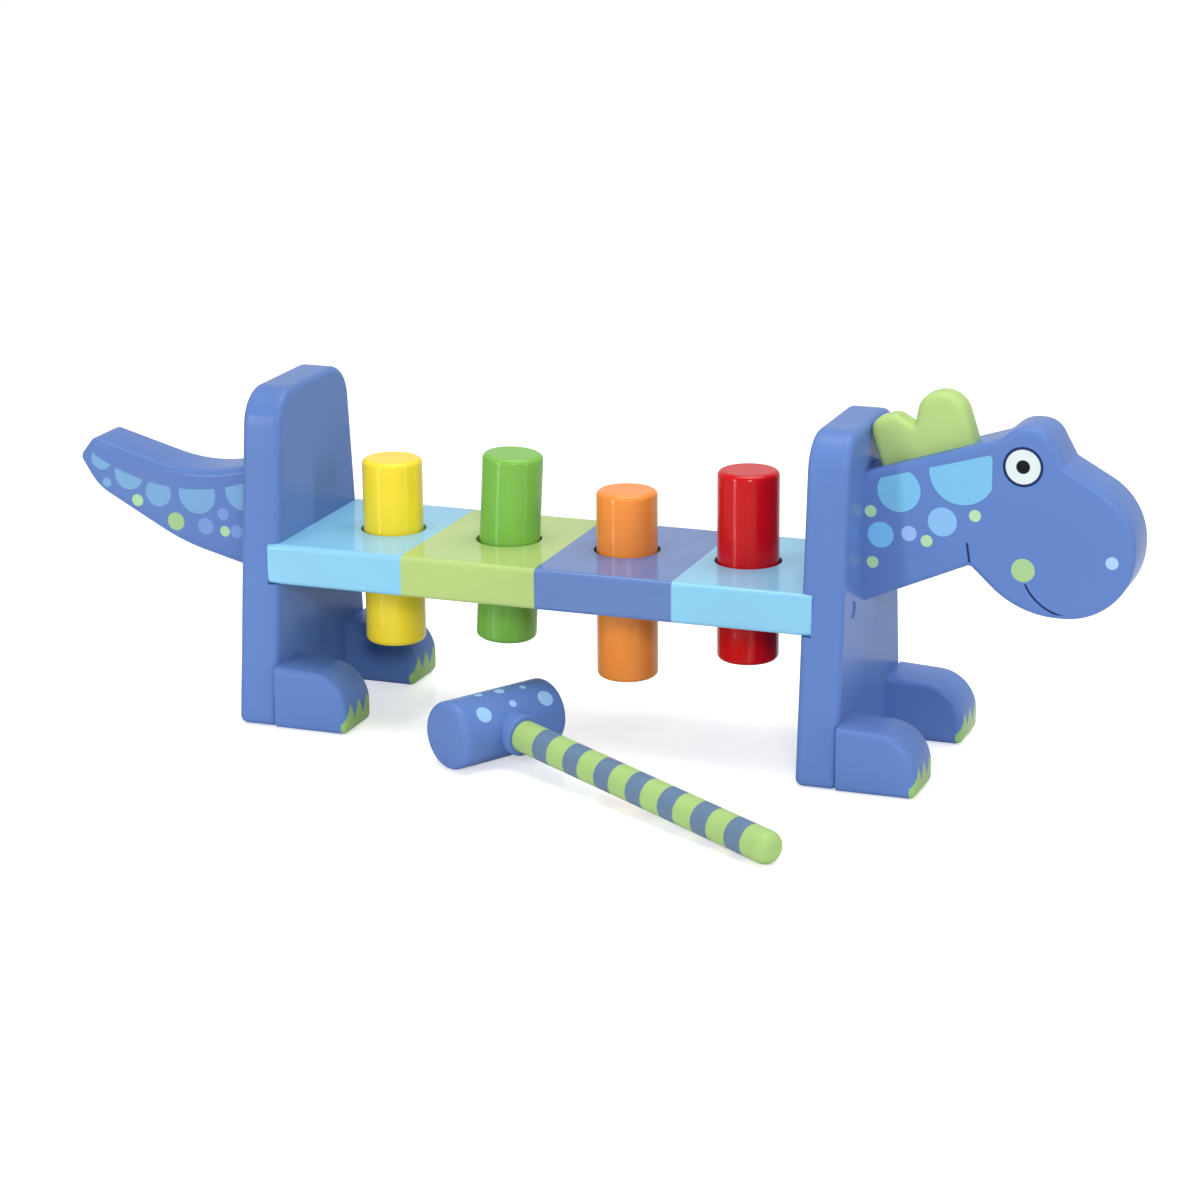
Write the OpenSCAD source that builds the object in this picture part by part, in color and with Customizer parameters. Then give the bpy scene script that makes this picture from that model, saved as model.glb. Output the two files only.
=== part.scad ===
// Peg pounding bench in the shape of a long-necked dinosaur, with four pegs and a mallet.
// Millimetres, +Z up, +X towards the head, -Y towards the side where the mallet lies.
// The origin is on the floor, in the middle of the box round the bench and the mallet.

/* [End panels] */
// Thickness of both end panels
panel_t = 15; // [13:0.5:20]
// Height of the end panels
panel_h = 122; // [112:1:140]
// Width of a panel along the floor
panel_base_w = 84; // [76:1:100]
// Width between a panel's sloping sides at its top edge
panel_top_w = 58; // [44:1:64]
// Radius of a panel's upper corners
panel_corner_r = 14; // [6:1:18]
// Clear distance between the two panels
panel_gap = 197; // [190:1:230]
// Radius that eases the edges of the panels and the dinosaur's boards
board_ease = 2.5; // [1:0.25:3.5]

/* [Plank] */
// Height of the plank's upper face above the floor
plank_top_z = 67.5; // [64:0.5:74]
// Thickness of the plank
plank_t = 15; // [12:0.5:18]
// Radius that eases the plank's long edges
plank_ease = 2; // [1:0.25:4]
// Depth of the housing in each panel that takes an end of the plank
housing_depth = 4; // [2:0.5:5]

/* [Pegs] */
// Diameter of the pegs
peg_d = 22; // [18:0.5:24]
// Length of the pegs
peg_l = 69; // [54:1:70]
// Radius that eases both ends of a peg
peg_ease = 2; // [0.5:0.25:4]
// Distance between neighbouring holes
peg_pitch = 45.5; // [40:0.5:47]
// Gap between a peg and the wall of its hole
hole_play = 1; // [0.8:0.1:1.5]
// How far the yellow peg stands above the plank
yellow_rise = 26.5; // [2:0.5:44]
// How far the green peg stands above the plank
green_rise = 32; // [2:0.5:44]
// How far the orange peg stands above the plank
orange_rise = 22; // [2:0.5:44]
// How far the red peg stands above the plank
red_rise = 33; // [2:0.5:44]
// Lean of the green peg in its hole, towards the head, in degrees
green_lean = 3; // [0:0.5:3]

/* [Grip rings] */
// Height of the rubber ring in each hole
ring_h = 3.5; // [2.5:0.25:5]
// How far a ring reaches from its peg into the plank
ring_reach = 3.5; // [3:0.25:5]
// Running clearance between a ring and its peg
ring_play = 0.05; // [0.03:0.01:0.1]

/* [Head and neck] */
// Thickness of the boards for head, tail and feet
figure_t = 22; // [18:0.5:26]
// Reach of the head from the front panel to the tip of the muzzle
head_l = 94.5; // [86:1:110]
// Height of the head from chin to brow
head_h = 66; // [60:1:72]
// Height of the chin above the floor
head_z = 59.5; // [55:0.5:64]

/* [Crest] */
// Length of the crest along the neck
crest_l = 35; // [30:1:38]
// Height of the crest above the neck
crest_h = 20; // [16:1:26]
// Thickness of the crest
crest_t = 10; // [8:0.5:13]
// Distance along the neck from the front panel to the crest
crest_setback = 4; // [3:0.5:6]

/* [Tail] */
// Reach of the tail from the rear panel to its tip
tail_l = 78; // [66:0.5:90]
// Height of the tail from its lowest corner to the top of its tip
tail_h = 47; // [40:1:52]
// Height of the tail's lowest corner above the floor
tail_z = 48; // [44:1:56]

/* [Feet] */
// Reach of a foot from its panel to the toes
foot_l = 28.5; // [24:0.5:36]
// Height of a foot where it meets its panel
foot_h = 23; // [20:0.5:30]

/* [Fasteners] */
// Diameter of the dowels that hold the neck and the tail
dowel_d = 8; // [6:0.5:10]
// Diameter of the dowels that hold the feet
foot_dowel_d = 5; // [4:0.5:7]
// Diameter of the dowels that hold the crest
crest_dowel_d = 4; // [3:0.5:4.5]
// Diameter of the screws that hold the plank
screw_d = 3; // [2.5:0.25:3.5]
// Length of those screws
screw_l = 36; // [28:1:45]
// Distance between the two screws at each end of the plank
screw_spread = 45; // [40:1:50]
// Diameter of the plugs that cover the screws
plug_d = 6; // [5.75:0.25:8]

/* [Mallet] */
// Diameter of the mallet's head
mallet_d = 24.5; // [20:0.5:30]
// Length of the mallet's head
mallet_l = 46; // [34:1:56]
// Radius that eases both ends of the mallet's head
mallet_ease = 3; // [1:0.25:5]
// Diameter of the handle
handle_d = 11.5; // [9:0.5:13]
// Reach of the handle from the middle of the mallet's head
handle_reach = 146; // [110:1:170]
// Diameter of the handle's collar, which sits in a flat seat in the mallet's head
collar_d = 15; // [13:0.5:18]
// Reach of the collar from the middle of the mallet's head
collar_reach = 16; // [14:0.5:20]
// Radius that eases the free end of the handle
handle_ease = 4; // [1:0.25:4]
// Place of the mallet's head along the bench, counted from the middle of the plank
mallet_along = -10.5; // [-20:0.5:20]
// Distance of the mallet's head in front of the middle of the plank
mallet_out = 44.5; // [40:0.5:80]
// Turn of the handle away from the bench's length, in degrees
mallet_turn = 30; // [15:1:60]

/* [Hidden] */

$fn = 64;
// Largest turn between two points of a round corner, in degrees, and the steps of an eased edge
corner_step = 7.5;
ease_steps = 4;
// How much rounder than its eased edge an outer corner of a board is at least
corner_margin = 0.5;
// How far a cut runs past the face that it starts from
overrun = 1;

// Paint and bare materials
body_blue = "#5B74BF";
sky_blue = "#7CC4EE";
lime_green = "#A5CF4C";
bare_wood = "#D9B98A";
rubber_black = "#2B2B2B";
zinc = "#B9BDC2";

// Wood that stays between a dowel's hole and the housing, and the glue pocket past a dowel's end
panel_web = 2;
glue_pocket = 1;
dowel_chamfer = 0.8;
// Depth of the dowels in the panels, in the figure boards and on each side of the crest's seat
dowel_in_panel = panel_t - housing_depth - panel_web - glue_pocket;
dowel_in_board = 16;
foot_dowel_in_foot = 12;
crest_dowel_half = 7;
// Depth of the screw plugs, how far they lie below the panel's face, and the sunk screw heads
plug_h = 4;
plug_inset = 0.5;
screw_head_d = 5.4;
screw_head_h = 1.6;
screw_play = 0.2;
screw_tip_h = 5;
// Depth of the handle past the middle of the mallet's head
handle_seat = 6;
// How deep the collar's seat is where it is shallowest, and the radius that eases the collar
seat_wall = 0.4;
collar_ease = 1;

// Places along the bench, counted from the middle of the plank
front_in_x = panel_gap / 2;
front_out_x = front_in_x + panel_t;
plank_l = panel_gap + 2 * housing_depth;
plank_mid_z = plank_top_z - plank_t / 2;
// The plank is as wide as the panels are at its height, so that its edges lie flush with theirs
plank_w = panel_base_w - (panel_base_w - panel_top_w) * plank_mid_z / panel_h;
peg_count = 4;
peg_r = peg_d / 2;
hole_r = peg_r + hole_play;
ring_in_r = peg_r + ring_play;
ring_out_r = ring_in_r + ring_reach;
foot_y = (panel_base_w - figure_t) / 2;
least_corner_r = board_ease + corner_margin;

// Corners of the head: share of its reach, share of its height, and radius as a share of its height.
// The two corners without a radius end the flat root against the panel, here and on the other boards.
head_shares = [
    [0, 0, 0],
    [0.395, 0.245, 0.025],
    [0.58, 0, 0.52],
    [1, 0, 0.37],
    [1, 0.6, 0.37],
    [0.737, 0.811, 0.03],
    [0.665, 1, 0.125],
    [0.555, 1, 0.15],
    [0.495, 0.925, 0.075],
    [0, 0.698, 0]];
// Heights of the neck's dowels as shares of the head's height
neck_dowel_shares = [0.18, 0.5];

// Corners of the crest above the neck: share of its length, share of its height, radius as such a share
crest_shares = [
    [0, 0, 0],
    [1, 0, 0],
    [1, 1, 0.45],
    [0.59, 1, 0.35],
    [0.443, 0.54, 0.03],
    [0.29, 0.82, 0.25],
    [0, 0.815, 0.27]];
// Places of the crest's dowels as shares of its length
crest_dowel_shares = [0.25, 0.75];

// Corners of the tail: share of its reach, share of its height, and radius as a share of its height
tail_shares = [
    [0, 0, 0],
    [0.465, 0.198, 1.7],
    [0.91, 0.596, 0.425],
    [1, 0.836, 0.064],
    [0.923, 1, 0.064],
    [0.409, 0.766, 1.28],
    [0, 0.902, 0]];
// Heights of the tail's dowels as shares of its height
tail_dowel_shares = [0.25, 0.65];

// Corners of a foot: share of its reach, share of its height, and radius as a share of its height
foot_shares = [
    [0, 0, 0],
    [1, 0, 0.1],
    [1, 0.93, 0.62],
    [0, 1, 0]];
// Height of a foot's two dowels as a share of its height, and their spread as a share of its thickness
foot_dowel_z_share = 0.42;
foot_dowel_y_share = 0.36;

// The neck's upper edge: its slope, and the height at which it meets the front panel
neck_run = [for (k = [0 : 1]) head_corners()[len(head_shares) - 1 - k]];
neck_slope = atan2(neck_run[1].y - neck_run[0].y, neck_run[1].x - neck_run[0].x);
neck_top_z = neck_run[0].y;

// The flat floor of the collar's seat, counted from the middle of the mallet's head
seat_x = sqrt(pow(mallet_d / 2, 2) - pow(collar_d / 2, 2)) - seat_wall;
// The mallet rests on its head and on the handle's end, so the handle slopes down a little
handle_rest = norm([handle_reach - handle_ease, handle_d / 2]);
handle_slope = asin(mallet_d / 2 / handle_rest) - atan2(handle_d / 2, handle_reach - handle_ease);
mallet_front = mallet_out + (handle_reach - handle_ease) * cos(handle_slope) * sin(mallet_turn)
    + (handle_d / 2 - handle_ease) * cos(mallet_turn) + handle_ease;

// Middle of the plank in the part's frame
bench_x = (tail_l - head_l) / 2;
bench_y = (mallet_front - panel_base_w / 2) / 2;

function unit(v) = v / norm(v);

// Corners written as shares, turned into places and radii
function sized(shares, across, up, base) =
    [for (s = shares) [s.x * across, base + s.y * up, s.z * up]];
function head_corners() = sized(head_shares, head_l, head_h, head_z);

// A round corner as points, each [across, up, normal across, normal up], with the outline on its left.
// A corner without a radius is an end of the flat root, and its normal runs along that root.
function corner_points(before, corner, after) =
    let (along = unit([corner.x - before.x, corner.y - before.y]),
         onward = unit([after.x - corner.x, after.y - corner.y]),
         turn = atan2(along.x * onward.y - along.y * onward.x, along * onward),
         side = sign(turn),
         radius = corner.z > 0 && turn > 0 ? max(corner.z, least_corner_r) : corner.z,
         start = [corner.x, corner.y] - along * radius * tan(abs(turn) / 2),
         normal = [along.y, -along.x],
         centre = start - side * radius * normal,
         root = before.z == 0 ? along : onward,
         root_normal = root / (root * (before.z == 0 ? [onward.y, -onward.x] : normal)),
         steps = max(1, ceil(abs(turn) / corner_step)))
    radius == 0
        ? [[corner.x, corner.y, root_normal.x, root_normal.y]]
        : [for (k = [0 : steps])
            let (a = turn * k / steps,
                 n = [normal.x * cos(a) - normal.y * sin(a), normal.x * sin(a) + normal.y * cos(a)],
                 p = centre + side * radius * n)
            [p.x, p.y, n.x, n.y]];

function outline(corners) =
    let (n = len(corners))
    [for (k = [0 : n - 1])
        each corner_points(corners[(k + n - 1) % n], corners[k], corners[(k + 1) % n])];

// A board cut to an outline, with both faces' edges eased by a quarter round
module eased_board(corners, thick) {
    edge = outline(corners);
    n = len(edge);
    lower = [for (k = [0 : ease_steps])
        let (a = 90 * k / ease_steps)
        [board_ease * (1 - sin(a)), board_ease * (1 - cos(a)) - thick / 2]];
    rings = concat(lower, [for (k = [ease_steps : -1 : 0]) [lower[k][0], -lower[k][1]]]);
    last = len(rings) - 1;
    points = [for (r = rings, p = edge) [p[0] - p[2] * r[0], p[1] - p[3] * r[0], r[1]]];
    sides = [for (j = [0 : last - 1], i = [0 : n - 1])
        [j * n + i, (j + 1) * n + i, (j + 1) * n + (i + 1) % n, j * n + (i + 1) % n]];
    floor_face = [for (i = [0 : n - 1]) i];
    roof_face = [for (i = [n - 1 : -1 : 0]) last * n + i];
    polyhedron(points, concat(sides, [floor_face, roof_face]), convexity = 4);
}

// A board that stands in the bench's length
module lengthwise_board(corners, thick) {
    rotate([90, 0, 0]) eased_board(corners, thick);
}

// A turned rod along +Z from the floor up, with eased ends
module rod(d, l, ease, lower_ease) {
    r = d / 2;
    rotate_extrude() {
        translate([0, lower_ease]) square([r, l - ease - lower_ease]);
        square([r - lower_ease, l - ease]);
        translate([0, lower_ease]) square([r - ease, l - lower_ease]);
        translate([r - ease, l - ease]) quarter_disc(ease);
        if (lower_ease > 0)
            translate([r - lower_ease, lower_ease]) mirror([0, 1]) quarter_disc(lower_ease);
    }
}

module quarter_disc(r) {
    intersection() {
        circle(r);
        square(r);
    }
}

// A dowel along +X, centred on the face between the two pieces that it joins
module dowel(d, before, after) {
    rotate([0, 90, 0]) translate([0, 0, -before]) {
        cylinder(h = dowel_chamfer, d1 = d - 2 * dowel_chamfer, d2 = d);
        translate([0, 0, dowel_chamfer]) cylinder(h = before + after - 2 * dowel_chamfer, d = d);
        translate([0, 0, before + after - dowel_chamfer])
            cylinder(h = dowel_chamfer, d1 = d, d2 = d - 2 * dowel_chamfer);
    }
}

// The hole for a dowel, a glue pocket deeper at both ends
module dowel_hole(d, before, after) {
    rotate([0, 90, 0]) translate([0, 0, -before - glue_pocket])
        cylinder(h = before + after + 2 * glue_pocket, d = d);
}

module at_bench() {
    translate([bench_x, bench_y, 0]) children();
}

// Draws its children for the front end, or turned round for the rear end
module at_end(front) {
    at_bench() mirror([front ? 0 : 1, 0, 0]) children();
}

module at_head_dowels() {
    for (s = neck_dowel_shares) translate([front_out_x, 0, head_z + s * head_h]) children();
}

module at_tail_dowels() {
    for (s = tail_dowel_shares) translate([front_out_x, 0, tail_z + s * tail_h]) children();
}

module at_foot_dowels(side) {
    for (k = [-1, 1])
        translate([0, side * foot_y + k * figure_t * foot_dowel_y_share / 2, foot_h * foot_dowel_z_share])
            children();
}

// Places the crest's frame on the neck: X along its slope, Z square to it
module at_crest() {
    translate([front_out_x, 0, neck_top_z]) rotate([0, -neck_slope, 0]) translate([crest_setback, 0, 0])
        children();
}

module at_crest_dowels() {
    at_crest() for (s = crest_dowel_shares)
        translate([s * crest_l, 0, 0]) rotate([0, -90, 0]) children();
}

module at_screws() {
    for (side = [-1, 1]) translate([front_out_x, side * screw_spread / 2, plank_mid_z]) children();
}

// A panel without its dowel holes, for the front end: housing inside, screw holes from outside
module panel_blank() {
    corners = [
        [-panel_base_w / 2, 0, least_corner_r],
        [panel_base_w / 2, 0, least_corner_r],
        [panel_top_w / 2, panel_h, panel_corner_r],
        [-panel_top_w / 2, panel_h, panel_corner_r]];
    difference() {
        translate([front_in_x + panel_t / 2, 0, 0]) rotate([90, 0, 90]) eased_board(corners, panel_t);
        translate([front_in_x - overrun, -panel_base_w / 2, plank_top_z - plank_t])
            cube([housing_depth + overrun, panel_base_w, plank_t]);
        at_screws() {
            rotate([0, -90, 0]) translate([0, 0, -overrun]) cylinder(h = plug_h + overrun, d = plug_d);
            screw(screw_d);
            rotate([0, -90, 0]) cylinder(h = panel_t, d = screw_d + 2 * screw_play);
        }
    }
}

module rear_panel() {
    color(body_blue) at_end(false) difference() {
        panel_blank();
        at_tail_dowels() dowel_hole(dowel_d, dowel_in_panel, dowel_in_board);
        for (side = [-1, 1]) at_foot_dowels(side)
            translate([front_in_x, 0, 0]) dowel_hole(foot_dowel_d, foot_dowel_in_foot, dowel_in_panel);
    }
}

module front_panel() {
    color(body_blue) at_end(true) difference() {
        panel_blank();
        at_head_dowels() dowel_hole(dowel_d, dowel_in_panel, dowel_in_board);
        for (side = [-1, 1]) at_foot_dowels(side)
            translate([front_out_x, 0, 0]) dowel_hole(foot_dowel_d, dowel_in_panel, foot_dowel_in_foot);
    }
}

function hole_x(k) = (k - (peg_count - 1) / 2) * peg_pitch;

// The plank: eased long edges, and four holes each with a groove for its grip ring
module plank() {
    color(sky_blue) at_bench() difference() {
        translate([-plank_l / 2, 0, plank_mid_z]) rotate([90, 0, 90])
            linear_extrude(plank_l) plank_section();
        for (k = [0 : peg_count - 1]) translate([hole_x(k), 0, plank_mid_z]) {
            cylinder(h = plank_t + 2 * overrun, r = hole_r, center = true);
            cylinder(h = ring_h, r = ring_out_r, center = true);
        }
        at_screws() screw(screw_d);
        mirror([1, 0, 0]) at_screws() screw(screw_d);
    }
}

module plank_section() {
    square([plank_w - 2 * plank_ease, plank_t], center = true);
    square([plank_w, plank_t - 2 * plank_ease], center = true);
    for (y = [-1, 1], z = [-1, 1])
        translate([y * (plank_w / 2 - plank_ease), z * (plank_t / 2 - plank_ease)]) circle(plank_ease);
}

module peg(k, rise, lean, paint) {
    color(paint) at_bench() translate([hole_x(k), 0, plank_mid_z]) rotate([0, lean, 0])
        translate([0, 0, plank_t / 2 + rise - peg_l]) rod(peg_d, peg_l, peg_ease, peg_ease);
}

module yellow_peg() { peg(0, yellow_rise, 0, "#F5CE14"); }
module green_peg() { peg(1, green_rise, green_lean, "#5DB233"); }
module orange_peg() { peg(2, orange_rise, 0, "#F08A2E"); }
module red_peg() { peg(3, red_rise, 0, "#C3161C"); }

// A rubber ring with a round lip that presses on its peg
module grip_ring(k) {
    lip = ring_h / 2;
    color(rubber_black) at_bench() translate([hole_x(k), 0, plank_mid_z]) rotate_extrude() {
        translate([ring_in_r + lip, 0]) circle(lip);
        translate([ring_in_r + lip, -lip]) square([ring_reach - lip, ring_h]);
    }
}

module yellow_grip_ring() { grip_ring(0); }
module green_grip_ring() { grip_ring(1); }
module orange_grip_ring() { grip_ring(2); }
module red_grip_ring() { grip_ring(3); }

// Head and neck: one board, square against the panel
module head_and_neck() {
    color(body_blue) at_end(true) difference() {
        translate([front_out_x, 0, 0]) lengthwise_board(head_corners(), figure_t);
        at_head_dowels() dowel_hole(dowel_d, dowel_in_panel, dowel_in_board);
        at_crest_dowels() dowel_hole(crest_dowel_d, crest_dowel_half, crest_dowel_half);
    }
}

// The two-lobed crest, flat where it sits on the neck
module crest() {
    color(lime_green) at_end(true) difference() {
        at_crest() lengthwise_board(sized(crest_shares, crest_l, crest_h, 0), crest_t);
        at_crest_dowels() dowel_hole(crest_dowel_d, crest_dowel_half, crest_dowel_half);
    }
}

// The tail: a horn-shaped board, square against the rear panel
module tail() {
    color(body_blue) at_end(false) difference() {
        translate([front_out_x, 0, 0])
            lengthwise_board(sized(tail_shares, tail_l, tail_h, tail_z), figure_t);
        at_tail_dowels() dowel_hole(dowel_d, dowel_in_panel, dowel_in_board);
    }
}

// A foot on the floor, toes towards +X, square against the panel's face at the given place
module foot(face_x, side) {
    difference() {
        translate([face_x, side * foot_y, 0])
            lengthwise_board(sized(foot_shares, foot_l, foot_h, 0), figure_t);
        at_foot_dowels(side) translate([face_x, 0, 0])
            dowel_hole(foot_dowel_d, dowel_in_panel, foot_dowel_in_foot);
    }
}

module rear_near_foot() { color(body_blue) at_bench() foot(-front_in_x, -1); }
module rear_far_foot() { color(body_blue) at_bench() foot(-front_in_x, 1); }
module front_near_foot() { color(body_blue) at_bench() foot(front_out_x, -1); }
module front_far_foot() { color(body_blue) at_bench() foot(front_out_x, 1); }

// A countersunk screw driven along -X from a panel's outer face, under its plug
module screw(d) {
    rotate([0, -90, 0]) translate([0, 0, plug_h]) {
        cylinder(h = screw_head_h, d1 = screw_head_d, d2 = d);
        cylinder(h = screw_l - screw_tip_h, d = d);
        translate([0, 0, screw_l - screw_tip_h]) cylinder(h = screw_tip_h, d1 = d, d2 = 0);
    }
}

module plank_screws_rear() { color(zinc) at_end(false) at_screws() screw(screw_d); }
module plank_screws_front() { color(zinc) at_end(true) at_screws() screw(screw_d); }

// Plugs over the screws, a little below the panel's face
module screw_plugs() {
    at_screws() rotate([0, -90, 0]) translate([0, 0, plug_inset])
        cylinder(h = plug_h - plug_inset, d = plug_d);
}

module screw_plugs_rear() { color(body_blue) at_end(false) screw_plugs(); }
module screw_plugs_front() { color(body_blue) at_end(true) screw_plugs(); }

module neck_dowels() {
    color(bare_wood) at_end(true) at_head_dowels() dowel(dowel_d, dowel_in_panel, dowel_in_board);
}

module crest_dowels() {
    color(bare_wood) at_end(true) at_crest_dowels()
        dowel(crest_dowel_d, crest_dowel_half, crest_dowel_half);
}

module tail_dowels() {
    color(bare_wood) at_end(false) at_tail_dowels() dowel(dowel_d, dowel_in_panel, dowel_in_board);
}

module foot_dowels(face_x) {
    color(bare_wood) at_bench() for (side = [-1, 1]) at_foot_dowels(side)
        translate([face_x, 0, 0]) dowel(foot_dowel_d, dowel_in_panel, foot_dowel_in_foot);
}

module rear_foot_dowels() { foot_dowels(-front_in_x); }
module front_foot_dowels() { foot_dowels(front_out_x); }

// The mallet's frame: the handle along +X, the head along Y, turned and sloped as it lies
module at_mallet() {
    at_bench() translate([mallet_along, -mallet_out, mallet_d / 2]) rotate([0, handle_slope, -mallet_turn])
        children();
}

module mallet_head() {
    color(body_blue) at_mallet() difference() {
        rotate([90, 0, 0]) translate([0, 0, -mallet_l / 2])
            rod(mallet_d, mallet_l, mallet_ease, mallet_ease);
        rotate([0, 90, 0]) {
            translate([0, 0, -handle_seat]) cylinder(h = mallet_d, d = handle_d);
            translate([0, 0, seat_x]) cylinder(h = mallet_d, d = collar_d);
        }
    }
}

module mallet_handle() {
    color(lime_green) at_mallet() rotate([0, 90, 0]) {
        translate([0, 0, -handle_seat]) rod(handle_d, handle_seat + handle_reach, handle_ease, 0);
        translate([0, 0, seat_x]) rod(collar_d, collar_reach - seat_x, collar_ease, 0);
    }
}

rear_panel();
front_panel();
plank();
yellow_peg();
green_peg();
orange_peg();
red_peg();
yellow_grip_ring();
green_grip_ring();
orange_grip_ring();
red_grip_ring();
head_and_neck();
crest();
tail();
rear_near_foot();
rear_far_foot();
front_near_foot();
front_far_foot();
plank_screws_rear();
plank_screws_front();
screw_plugs_rear();
screw_plugs_front();
neck_dowels();
crest_dowels();
tail_dowels();
rear_foot_dowels();
front_foot_dowels();
mallet_head();
mallet_handle();
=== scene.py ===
import math

import bmesh
import bpy
from mathutils import Euler, Matrix, Vector


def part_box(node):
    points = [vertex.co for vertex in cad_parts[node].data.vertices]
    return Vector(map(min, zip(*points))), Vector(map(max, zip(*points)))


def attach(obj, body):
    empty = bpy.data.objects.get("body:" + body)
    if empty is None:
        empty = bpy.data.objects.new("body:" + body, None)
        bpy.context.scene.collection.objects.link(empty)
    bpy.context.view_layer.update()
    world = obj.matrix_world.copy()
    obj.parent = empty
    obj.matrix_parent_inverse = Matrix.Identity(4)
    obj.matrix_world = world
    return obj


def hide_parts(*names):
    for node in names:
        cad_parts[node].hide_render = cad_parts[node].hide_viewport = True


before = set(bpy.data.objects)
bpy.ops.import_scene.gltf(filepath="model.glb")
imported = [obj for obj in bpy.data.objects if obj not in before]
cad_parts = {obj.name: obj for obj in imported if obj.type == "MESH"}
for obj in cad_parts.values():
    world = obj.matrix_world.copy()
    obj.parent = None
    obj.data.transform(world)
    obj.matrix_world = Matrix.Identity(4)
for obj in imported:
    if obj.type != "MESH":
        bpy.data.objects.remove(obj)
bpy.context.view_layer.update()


# End panels: two tapered boards that carry everything, sawn from 15 mm wood with routed edges and
# sprayed with gloss blue. The plank's ends are let into their inner faces, and the screws into the
# plank are covered by sunk plugs in their outer faces.

MM = 0.001
panel_top_w = 58 * MM
panel_corner_r = 14 * MM
board_ease = 2.5 * MM
least_corner_r = 3 * MM
housing_depth = 4 * MM
plug_d = 6 * MM
plug_depth = 4 * MM
corner_step = math.radians(3)
ease_steps = 6
cap_margin = 0.3 * MM
sharp_angle = math.radians(35)
break_angle = math.radians(50)
break_segments = 3
upright_grain = (1, 1, 6)
blue = "#6080BF"

rear_low, rear_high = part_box("rear_panel")
front_low, front_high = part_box("front_panel")
plank_low, plank_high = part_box("plank")
plug_low, plug_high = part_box("screw_plugs_front")
middle = (rear_low + front_high) / 2
panel_t = front_high.x - front_low.x
panel_h = front_high.z
panel_base_w = front_high.y - front_low.y
plug_ys = [plug_low.y + plug_d / 2, plug_high.y - plug_d / 2]
plug_z = (plug_low.z + plug_high.z) / 2


def linear(code):
    """An sRGB hex colour as linear red, green, blue and alpha."""
    parts = [int(code[k:k + 2], 16) / 255 for k in (1, 3, 5)]
    return [c / 12.92 if c <= 0.04045 else ((c + 0.055) / 1.055) ** 2.4 for c in parts] + [1]


def add(tree, kind, inputs=(), **settings):
    """A node with its settings, its inputs linked or set. A node given as an input stands for its first
    output."""
    made = tree.nodes.new(kind)
    for name, value in settings.items():
        setattr(made, name, value)
    for key, value in dict(inputs).items():
        value = value.outputs[0] if isinstance(value, bpy.types.Node) else value
        if isinstance(value, bpy.types.NodeSocket):
            tree.links.new(value, made.inputs[key])
        else:
            made.inputs[key].default_value = value
    return made


def empty_material(name):
    """A material without nodes yet, and its node tree."""
    material = bpy.data.materials.new(name)
    material.use_nodes = True
    material.node_tree.nodes.clear()
    return material, material.node_tree


def gloss_paint(name, colour, pattern=None, roughness=0.22, ior=1.2, coat=0, grain=upright_grain):
    """Sprayed gloss paint on sanded wood. The eye sees an even colour with a faint cloud, the grain's long
    ripples just showing through, and a fine orange peel that breaks up the highlights. The grain says
    how many times longer the ripples are along each axis."""
    cloud_mm, ripple_mm, peel_mm = 45, 1.6, 0.9
    cloud_low, cloud_high = 0.3, 0.7
    darkest, lightest = 0.955, 1.035
    smoothest, dullest = roughness - 0.03, roughness + 0.04
    ripple_strength, ripple_depth = 0.12, 0.08 * MM
    peel_strength, peel_depth = 0.1, 0.04 * MM
    coat_roughness = 0.12
    material, tree = empty_material(name)
    place = add(tree, "ShaderNodeTexCoord").outputs["Object"]
    cloud = add(tree, "ShaderNodeTexNoise", {"Vector": place, "Scale": 1 / (cloud_mm * MM), "Detail": 3})
    clouded = {"Value": cloud, "From Min": cloud_low, "From Max": cloud_high}
    tone = add(tree, "ShaderNodeMapRange", {**clouded, "To Min": darkest, "To Max": lightest})
    dull = add(tree, "ShaderNodeMapRange", {**clouded, "To Min": smoothest, "To Max": dullest})
    painted = pattern(tree, place, linear(colour)) if pattern else linear(colour)
    shade = add(tree, "ShaderNodeHueSaturation", {"Color": painted, "Value": tone})
    stretched = add(tree, "ShaderNodeMapping", {"Vector": place, "Scale": [1 / run for run in grain]})
    ripple = add(tree, "ShaderNodeTexNoise", {"Vector": stretched, "Scale": 1 / (ripple_mm * MM),
                                              "Detail": 2})
    peel = add(tree, "ShaderNodeTexNoise", {"Vector": place, "Scale": 1 / (peel_mm * MM), "Detail": 1})
    rippled = add(tree, "ShaderNodeBump", {"Height": ripple, "Strength": ripple_strength,
                                           "Distance": ripple_depth})
    peeled = add(tree, "ShaderNodeBump", {"Height": peel, "Strength": peel_strength,
                                          "Distance": peel_depth, "Normal": rippled})
    surface = add(tree, "ShaderNodeBsdfPrincipled", {
        "Base Color": shade, "Roughness": dull, "IOR": ior, "Coat Weight": coat,
        "Coat Roughness": coat_roughness, "Normal": peeled})
    add(tree, "ShaderNodeOutputMaterial", {"Surface": surface})
    return material


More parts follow.
